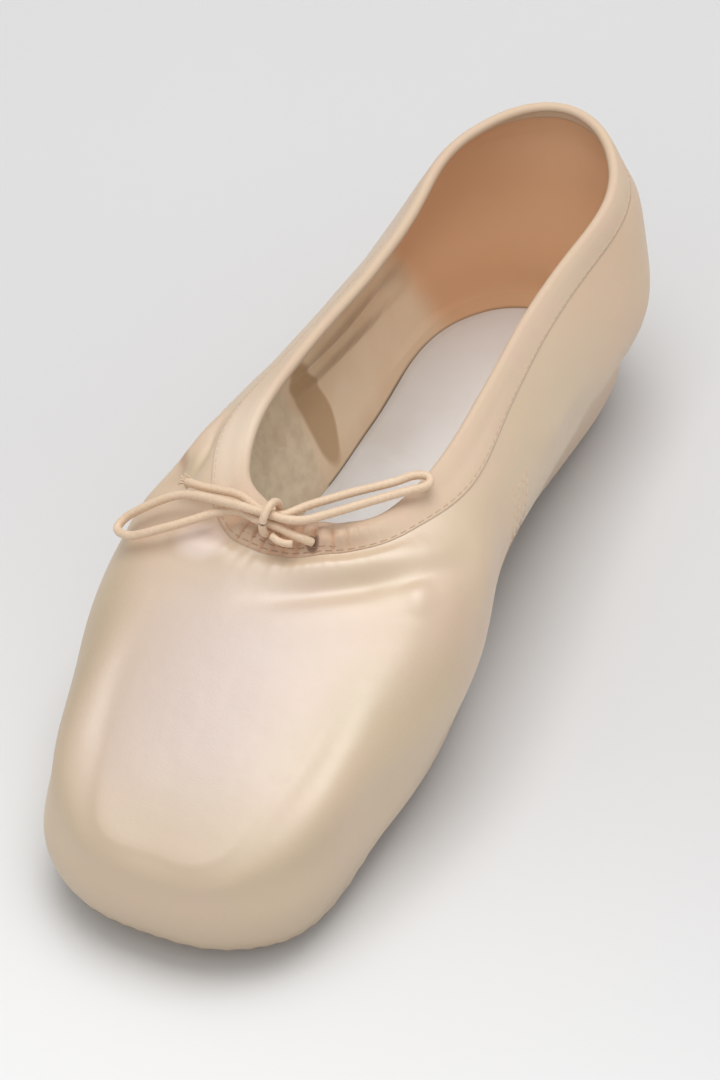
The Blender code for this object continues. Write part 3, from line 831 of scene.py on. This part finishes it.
# Painted shade: the stitches across the throat are darkened, to show as the dark line of the gathered
# seam.
throat_stitch_shade = y.below(-39, -34) * x.near(0, 30)
thread_colour = thread_finish.colour((0.70, 0.53, 0.38)).layered(
    ((0.64, 0.46, 0.32), ply.above(0.4, 0.7)),
    ((0.36, 0.21, 0.13), throat_stitch_shade * 0.75))
thread_finish.set(Base_Color=thread_colour, Roughness=0.5 + ply * 0.15)
thread_finish.on(casing_stitches)
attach(casing_stitches, "root")

satin_normal = outward(satin_wall)


def wall_index(x_sign, y, line):
    """The grid row and column of the satin nearest to a distance along the shoe on one of its lines."""
    j = np.interp(line, satin_numbers, np.arange(len(satin_numbers)))
    column = satin_wall[: AROUND // 2, round(j), 1]
    i = np.interp(-y, -column, np.arange(AROUND // 2))
    return (i if x_sign > 0 else AROUND - i), j


rows = []
t = np.linspace(0, 1, 200)
for x_sign in (1, -1):
    i_way, j_way = zip(*(wall_index(x_sign, y, line) for y, line in SIDE_SEAM))
    for shift in SIDE_ROWS:
        rows.append(row_on(satin_wall, satin_normal, bent(t, *i_way) + shift, bent(t, *j_way)))
for shift in HEEL_ROWS:
    rows.append(row_on(satin_wall, satin_normal, shift, np.linspace(*HEEL_SPAN, 200)))
seam_stitches = stitch_mesh("seam_stitches", rows)
thread_finish.on(seam_stitches)
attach(seam_stitches, "root")


# Insole. A board insole under thin grey-white cloth, glued over the lap of the upper. It is pressed a
# little hollow along its middle, and its edge lies close to the wall, in its shadow.
INSOLE_UNDER = 4.4
INSOLE_INSET = 2.4


def face_out(piece, merge=0.0):
    """Turns the faces of a closed piece outward, once points closer than merge are one."""
    tidy = bmesh.new()
    tidy.from_mesh(piece.data)
    if merge:
        bmesh.ops.remove_doubles(tidy, verts=tidy.verts, dist=merge)
        bmesh.ops.dissolve_degenerate(tidy, edges=tidy.edges, dist=merge / 10)
    bmesh.ops.recalc_face_normals(tidy, faces=tidy.faces)
    tidy.to_mesh(piece.data)
    tidy.free()


def plate(name, reach, under, over, edge_drop=0.0, dish=0.0, flare=0.0):
    """Closed plate: a loop on each section, from side to side above and back again below.

    The face's height falls by edge_drop in its last 2 mm and by dish along its middle. The face
    above reaches further out than the one below by flare.
    """
    across = np.sin(np.linspace(-90, 90, 41) * math.pi / 180)
    low_rim = place(section, reach[:, None], 0 * reach[:, None] + under)[:, 0]
    right = place(section, reach[:, None] + flare, 0 * reach[:, None] + under)[:, 0]
    x = right[:, :1] * across
    y = np.broadcast_to(right[:, 1:2], x.shape)
    lift = np.broadcast_to(ground_at(right[:, 1:2]), x.shape)
    inset = right[:, :1] * (1 - np.abs(across))
    ends = np.minimum(np.abs(y - y[0]), np.abs(y - y[-1]))
    inset = np.minimum(inset, ends)
    above = over + lift - edge_drop * (1 - ramp(inset / 2.0)) - dish * ramp(inset / 18)
    below = under + lift
    top = np.stack([x, y, above], -1)
    bottom = np.stack([low_rim[:, :1] * across, np.broadcast_to(low_rim[:, 1:2], x.shape), below], -1)
    loops = np.concatenate([top, bottom[:, ::-1]], axis=1)
    points = loops.reshape(-1, 3)
    faces = band_faces(*loops.shape[:2], closed=False)[2].reshape(-1, 4)
    piece = piece_from(name, points, faces.tolist(), points[faces.ravel(), :2] / 10)
    face_out(piece, merge=1e-6)
    piece.data.set_sharp_from_angle(angle=math.radians(50))
    return piece


insole_reach = section["edge"] - section["wall"] - INSOLE_INSET
insole = plate("insole_cloth", insole_reach, INSOLE_UNDER, INSOLE_TOP, edge_drop=0.4, dish=0.5,
               flare=2.1)
insole_finish = Finish("insole_cloth", Specular_IOR_Level=0.25, Sheen_Weight=0.1)
y = insole_finish.axes[1]
insole_weave = insole_finish.cloth.stretched((60, 60, 1)).noise(1.0, 2.0)
insole_clouds = insole_finish.place.noise(0.06, 4.0)
insole_colour = insole_finish.colour((0.82, 0.83, 0.85)).layered(
    ((0.72, 0.70, 0.67), insole_clouds.above(0.4, 0.75) * 0.6),
    # Painted shade: the insole darkens towards the heel, deep in the heel cup.
    ((0.62, 0.59, 0.56), y.above(20, 95) * 0.6),
    ((0.66, 0.64, 0.61), insole_weave.below(0.25, 0.5) * 0.3))
insole_finish.set(Base_Color=insole_colour, Roughness=0.8 + insole_weave * 0.1)
insole_finish.bump(insole_weave * 0.6 + insole_clouds * 0.4, 0.1)
insole_finish.on(insole)
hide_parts("insole")
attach(insole, "root")


# Outsole. A short sole of brown split leather, skived thin at its edge, glued over the satin's pleats.
# Its edge shows as a thin lighter line, and its face is bare and a little scuffed at heel and ball.
LEATHER_THICK = 2.25
outsole = plate("leather_outsole", section["sole"], 0.0, LEATHER_THICK)
leather_finish = Finish("sole_leather", Specular_IOR_Level=0.35)
y, z = leather_finish.axes[1:]
fibres = leather_finish.place.stretched((1.6, 0.9, 1.6)).noise(1.0, 5.0, 0.65)
hide = leather_finish.place.noise(0.05, 4.0)
scuff = leather_finish.place.stretched((0.25, 1.6, 0.25)).noise(0.6, 3.0).above(0.55, 0.75)
worn = y.near(78, 22) + y.near(-57, 34)
leather_colour = leather_finish.colour((0.27, 0.135, 0.062)).layered(
    ((0.36, 0.19, 0.09), hide.above(0.35, 0.7)),
    ((0.42, 0.26, 0.15), scuff * worn * 0.5),
    ((0.50, 0.33, 0.19), z.above(1.2, 2.0) * 0.6))
leather_finish.set(Base_Color=leather_colour, Roughness=0.62 + fibres * 0.2)
leather_finish.bump(fibres * 0.7 + scuff * 0.3, 0.15)
leather_finish.on(outsole)
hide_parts("outsole")
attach(outsole, "root")


# Drawstring. A thin braided cotton cord comes out of the casing at the throat and is tied in a small
# bow: one turn grips the loops, one bare end lies on the left and a short one under the knot.
CORD_RADIUS = 1.0
BRAID_PITCH = 3.0
KNOT_MIDDLE = (-3.8, -40.0, 58.8)
KNOT_REACH = (0.35, 3.35, 3.45)
GRIP_RADIUS = 0.92
STUB_RADIUS = 0.85
FIBRE_COUNT = 26
FIBRE_RADIUS = 0.16
STUB_ROUTE = ((-2.6, -42.6, 56.4), (-0.8, -43.2, 56.0), (0.8, -43.2, 55.9), (2.2, -42.7, 56.0))
BOW_ROUTE = (
    (5.0, -39.3, 54.4), (3.7, -40.2, 55.6), (0.8, -40.8, 56.5), (-1.6, -40.9, 57.7),
    (-3.8, -40.9, 57.8), (-6.3, -40.8, 57.8), (-11.3, -39.4, 57.4), (-15.6, -40.1, 56.3),
    (-19.3, -41.9, 54.9), (-23.3, -44.0, 53.4), (-26.9, -45.5, 52.0), (-30.7, -46.5, 50.1),
    (-34.4, -46.4, 48.2), (-38.1, -44.4, 47.3), (-37.2, -42.1, 48.4), (-34.3, -40.8, 50.7),
    (-30.3, -39.2, 53.3), (-26.1, -38.1, 55.5), (-20.9, -38.5, 57.4), (-15.5, -39.8, 59.1),
    (-10.3, -40.4, 60.1), (-6.4, -40.5, 60.1), (-3.8, -40.4, 60.1), (-1.2, -40.5, 60.0),
    (2.7, -38.9, 59.4), (6.0, -35.5, 59.1), (9.2, -32.1, 59.0), (12.5, -28.7, 59.1),
    (15.9, -25.5, 59.3), (19.0, -22.5, 59.4), (21.3, -20.7, 59.5), (22.6, -18.9, 59.7),
    (21.6, -17.3, 60.0), (19.5, -18.0, 60.25), (15.8, -22.0, 60.3), (12.4, -25.0, 60.2),
    (8.9, -28.1, 60.1), (5.5, -31.2, 59.8), (2.0, -34.2, 59.3), (-0.4, -36.6, 58.8),
    (-1.6, -38.2, 58.65), (-3.8, -38.7, 58.5), (-6.2, -38.6, 58.6), (-12.9, -36.0, 58.5),
    (-17.8, -35.5, 57.6), (-22.2, -35.0, 56.6), (-26.4, -33.7, 55.4),
)


def along_route(route, step=0.3, bell=1.0):
    """Points a step apart on the smooth curve through a route's points, averaged under a bell."""
    route = np.array(route)
    knots = np.insert(np.linalg.norm(np.diff(route, axis=0), axis=1).cumsum(), 0, 0)
    line = smooth(knots, route, np.linspace(0, knots[-1], round(knots[-1] / step) + 1))
    reach = round(3 * bell / step)
    weight = np.exp(-(np.arange(-reach, reach + 1) * step / bell) ** 2 / 2)
    before = 2 * line[0] - line[reach:0:-1]
    after = 2 * line[-1] - line[-2:-reach - 2:-1]
    line = np.concatenate([before, line, after])
    return np.stack([np.convolve(way, weight / weight.sum(), "valid") for way in line.T], axis=-1)


def braid(line, radius, sides=18, closed=False):
    """Points and faces of a braided cord along a line: a tube whose radius swells where the strands
    of two opposite spirals cross."""
    if closed:
        tangent = np.roll(line, -1, axis=0) - np.roll(line, 1, axis=0)
    else:
        tangent = np.gradient(line, axis=0)
    tangent /= np.linalg.norm(tangent, axis=1, keepdims=True)
    side = np.cross(tangent, (0.02, 0.31, 0.95))
    side /= np.linalg.norm(side, axis=1, keepdims=True)
    up = np.cross(side, tangent)
    run = np.insert(np.linalg.norm(np.diff(line, axis=0), axis=1).cumsum(), 0, 0)[:, None]
    turn = (np.arange(sides) * 2 * np.pi / sides)[None]
    twist = 2 * np.pi * run / BRAID_PITCH
    bulge = np.abs(np.sin(2 * turn + twist)) ** 0.8 + np.abs(np.sin(2 * turn - twist)) ** 0.8
    swell = radius * (0.85 + 0.05 * bulge)
    tube = line[:, None] + swell[..., None] * (side[:, None] * np.cos(turn)[..., None]
                                               + up[:, None] * np.sin(turn)[..., None])
    count = len(line)
    faces = band_faces(count, sides, closed)[2].reshape(-1, 4).tolist()
    if not closed:
        faces.append(list(range(sides))[::-1])
        faces.append(list(range((count - 1) * sides, count * sides)))
    return tube.reshape(-1, 3), faces


def cord_object(name, parts):
    """One object from the points and faces of several cords."""
    points = np.concatenate([part[0] for part in parts])
    faces = []
    base = 0
    for part in parts:
        faces += [[base + corner for corner in face] for face in part[1]]
        base += len(part[0])
    piece = piece_from(name, points, faces)
    face_out(piece)
    return piece


bow_line = along_route(BOW_ROUTE)
bow = cord_object("bow_cord", [braid(bow_line, CORD_RADIUS)])
turn = np.linspace(0, 2 * np.pi, 73)[:-1]
grip = np.stack([np.sin(turn), np.sin(turn), np.cos(turn)], -1) * KNOT_REACH + KNOT_MIDDLE
stub = along_route(STUB_ROUTE)
knot = cord_object("bow_knot", [braid(grip, GRIP_RADIUS, closed=True), braid(stub, STUB_RADIUS)])
draws = np.random.default_rng(5)
tail_way = bow_line[-1] - bow_line[-6]
tail_way /= np.linalg.norm(tail_way)
fibres = []
share = np.linspace(0, 1, 5)[:, None]
for _ in range(FIBRE_COUNT):
    root = bow_line[-1] - tail_way * 0.8 + draws.normal(0, 0.38, 3)
    spread = draws.normal(0, 0.34, 3) + (0, 0, -0.12)
    reach = draws.uniform(0.9, 2.1)
    bend = (tail_way + spread) * reach
    line = root + share * bend + share ** 2 * draws.normal(0, 0.3, 3)
    fibres.append(braid(line, FIBRE_RADIUS, sides=5))
frayed_tip = cord_object("frayed_tip", fibres)

cord_finish = Finish("cotton_cord", Specular_IOR_Level=0.6, Sheen_Weight=0.2)
strands = cord_finish.place.noise(2.2, 3.0)
fuzz = cord_finish.place.noise(0.5, 3.0)
cord_colour = cord_finish.colour((0.80, 0.60, 0.42)).layered(
    ((0.66, 0.45, 0.28), strands.below(0.3, 0.6) * 0.4),
    ((0.86, 0.70, 0.52), fuzz.above(0.5, 0.8) * 0.5))
cord_finish.set(Base_Color=cord_colour, Roughness=0.42 + strands * 0.15)
cord_finish.bump(strands, 0.08)
cord_finish.on(bow, knot, frayed_tip)
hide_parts("drawstring")
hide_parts("drawstring_knot")
bow_length = np.linalg.norm(np.diff(bow_line, axis=0), axis=1).sum() * MM
for piece in (bow, knot, frayed_tip):
    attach(piece, "root")


# Studio. A pale sheet of paper lies as the floor and curves up into a backdrop. One large soft light
# hangs overhead, and the camera stands high in front of the shoe's right side.
FLOOR_HALF = 4000
FLOOR_RUN = ((-4000, 0), (-1600, 0), (-400, 0), (500, 0), (1100, 0), (1500, 60), (1800, 250),
             (1950, 600), (2000, 1200), (2000, 2400))
floor_points = np.array([(x, y, z) for y, z in FLOOR_RUN for x in (-FLOOR_HALF, FLOOR_HALF)])
floor_faces = [(2 * k, 2 * k + 1, 2 * k + 3, 2 * k + 2) for k in range(len(FLOOR_RUN) - 1)]
floor = piece_from("studio_floor", floor_points, floor_faces)
floor_finish = Finish("pale_paper", Specular_IOR_Level=0.2)
y = floor_finish.axes[1]
paper = floor_finish.place.noise(0.01, 2.0)
floor_colour = floor_finish.colour((0.70, 0.70, 0.70)).layered(
    ((0.68, 0.68, 0.685), paper),
    # Painted light: the paper grows lighter towards the front of the floor, around the shoe, as if lit
    # more there.
    ((0.88, 0.885, 0.88), y.below(-190, 20)))
floor_finish.set(Base_Color=floor_colour, Roughness=0.7)
floor_finish.on(floor)

overhead = bpy.data.lights.new("overhead", "AREA")
overhead.size = 1.0
overhead.energy = 10.5
overhead.color = (1.0, 0.985, 0.965)
light = placed("overhead", overhead)
light.location = (0.0, 0.15, 1.4)
away = light.location - mathutils.Vector((0, -0.02, 0.03))
light.rotation_euler = away.to_track_quat("Z", "Y").to_euler()
world = bpy.data.worlds.new("studio")
bpy.context.scene.world = world
world.use_nodes = True
sky = world.node_tree.nodes["Background"]
sky.inputs["Color"].default_value = (0.98, 0.985, 1.0, 1)
way = Tint(world.node_tree, world.node_tree.nodes.new("ShaderNodeTexCoord").outputs["Generated"])
from_right = way.node("ShaderNodeSeparateXYZ", {}, {0: way}, 0)
from_above = way.node("ShaderNodeSeparateXYZ", {}, {0: way}, 2)
shade = from_right.above(0.1, 0.8) * 0.3 + (from_right * -1).above(0.1, 0.8) * 0.5
plug(world.node_tree, (0.54 + from_above.above(0.0, 0.8) * 0.36) * (1 - shade), sky.inputs["Strength"])
bpy.context.scene.view_settings.view_transform = "Standard"

CAMERA_TURN = math.radians(26.22)
CAMERA_RISE = math.radians(43.51)
CAMERA_ROLL = math.radians(-2.47)
CAMERA_DISTANCE = 0.75608
CAMERA_AIM = mathutils.Vector((0.0, -0.0071, 0.025))
LENS_PIXELS = 3493.9245
FRAME_PIXELS = 1080
SENSOR_WIDTH = 36
back = mathutils.Vector((math.sin(CAMERA_TURN) * math.cos(CAMERA_RISE),
                         -math.cos(CAMERA_TURN) * math.cos(CAMERA_RISE), math.sin(CAMERA_RISE)))
level = mathutils.Vector((math.cos(CAMERA_TURN), math.sin(CAMERA_TURN), 0))
upright = back.cross(level)
right = level * math.cos(CAMERA_ROLL) + upright * math.sin(CAMERA_ROLL)
up = back.cross(right)
lens = bpy.data.cameras.new("camera")
lens.sensor_width = SENSOR_WIDTH
lens.lens = LENS_PIXELS / FRAME_PIXELS * SENSOR_WIDTH
camera = placed("camera", lens)
turned = mathutils.Matrix((right, up, back)).transposed().to_4x4()
camera.matrix_world = mathutils.Matrix.Translation(CAMERA_AIM + back * CAMERA_DISTANCE) @ turned
bpy.context.scene.camera = camera
